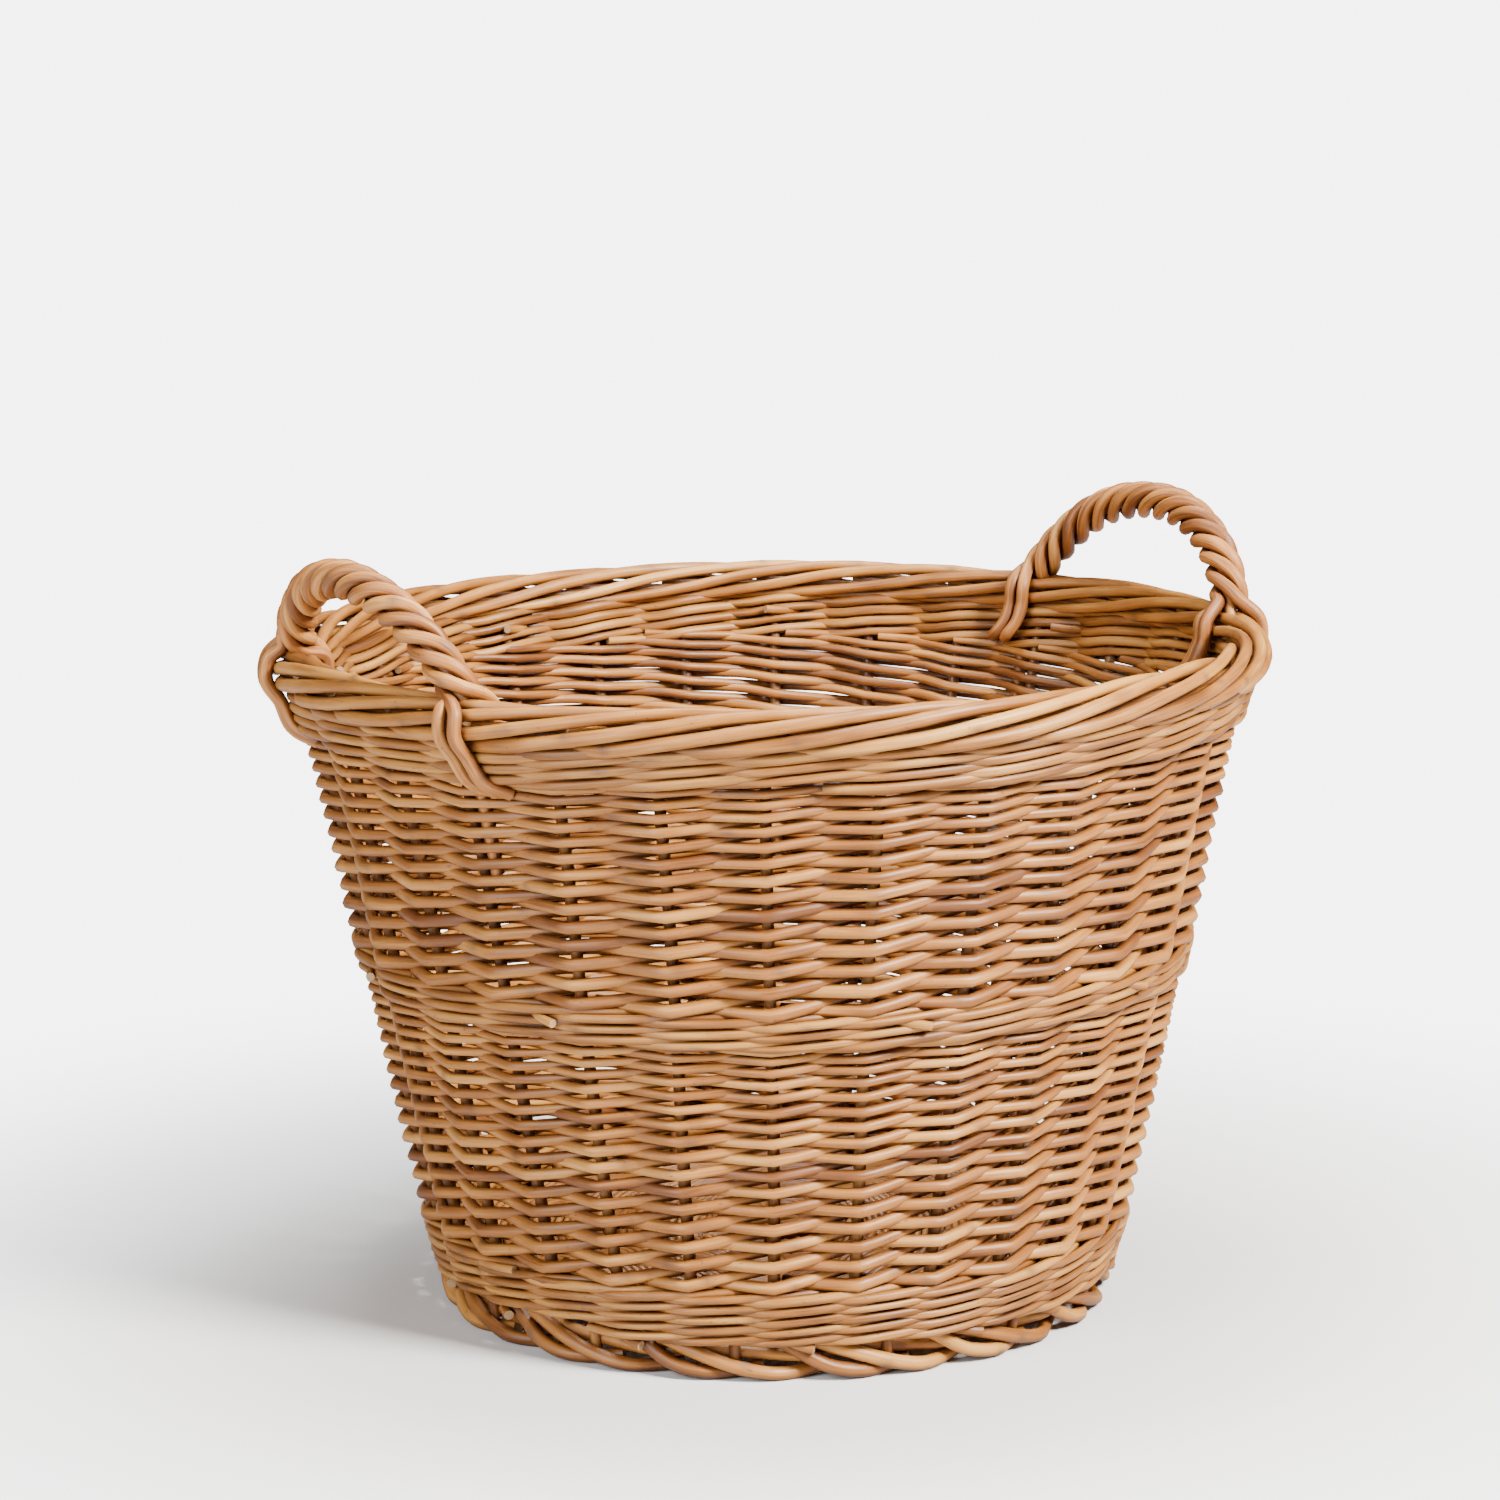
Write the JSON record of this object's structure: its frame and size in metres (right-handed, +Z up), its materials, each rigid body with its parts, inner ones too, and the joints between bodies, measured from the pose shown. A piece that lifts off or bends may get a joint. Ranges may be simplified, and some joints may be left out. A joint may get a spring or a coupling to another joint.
{
  "type": "wicker log basket",
  "caption": "Round willow log basket with a foot border, three wales, two woven sidings, a rolled border and two roped handles.",
  "frame": {"origin": "centre of the foot border's resting face", "axes": "+Z up out of the mouth, the two handles stand over +X and -X, +Y across between the handles"},
  "size_m": [0.52, 0.52, 0.4128],
  "materials": {
    "willow_base": "satin",
    "willow_sticks": "satin",
    "willow_stakes": "satin",
    "willow_siding": "satin",
    "willow_wale": "satin",
    "willow_border": "satin",
    "willow_handle": "satin"
  },
  "bodies": {
    "root": {"base_weave": "willow_base", "slath_binding": "willow_base", "pierced_stick_1": "willow_sticks", "pierced_stick_2": "willow_sticks", "pierced_stick_3": "willow_sticks", "through_stick_1": "willow_sticks", "through_stick_2": "willow_sticks", "through_stick_3": "willow_sticks", "through_stick_4": "willow_sticks", "side_stake_1": "willow_stakes", "side_stake_2": "willow_stakes", "side_stake_3": "willow_stakes", "side_stake_4": "willow_stakes", "side_stake_5": "willow_stakes", "side_stake_6": "willow_stakes", "side_stake_7": "willow_stakes", "side_stake_8": "willow_stakes", "side_stake_9": "willow_stakes", "side_stake_10": "willow_stakes", "side_stake_11": "willow_stakes", "side_stake_12": "willow_stakes", "side_stake_13": "willow_stakes", "side_stake_14": "willow_stakes", "side_stake_15": "willow_stakes", "side_stake_16": "willow_stakes", "side_stake_17": "willow_stakes", "side_stake_18": "willow_stakes", "side_stake_19": "willow_stakes", "side_stake_20": "willow_stakes", "side_stake_21": "willow_stakes", "side_stake_22": "willow_stakes", "side_stake_23": "willow_stakes", "side_stake_24": "willow_stakes", "side_stake_25": "willow_stakes", "side_stake_26": "willow_stakes", "side_stake_27": "willow_stakes", "side_stake_28": "willow_stakes", "foot_border": "willow_border", "foot_pegs": "willow_stakes", "upsett_wale": "willow_wale", "lower_siding": "willow_siding", "middle_wale": "willow_wale", "upper_siding": "willow_siding", "top_wale": "willow_wale", "rolled_border": "willow_border", "left_handle_bow": "willow_handle", "right_handle_bow": "willow_handle", "left_handle_strand_1": "willow_handle", "left_handle_strand_2": "willow_handle", "left_handle_strand_3": "willow_handle", "left_handle_strand_4": "willow_handle", "right_handle_strand_1": "willow_handle", "right_handle_strand_2": "willow_handle", "right_handle_strand_3": "willow_handle", "right_handle_strand_4": "willow_handle"}
  },
  "joints": []
}
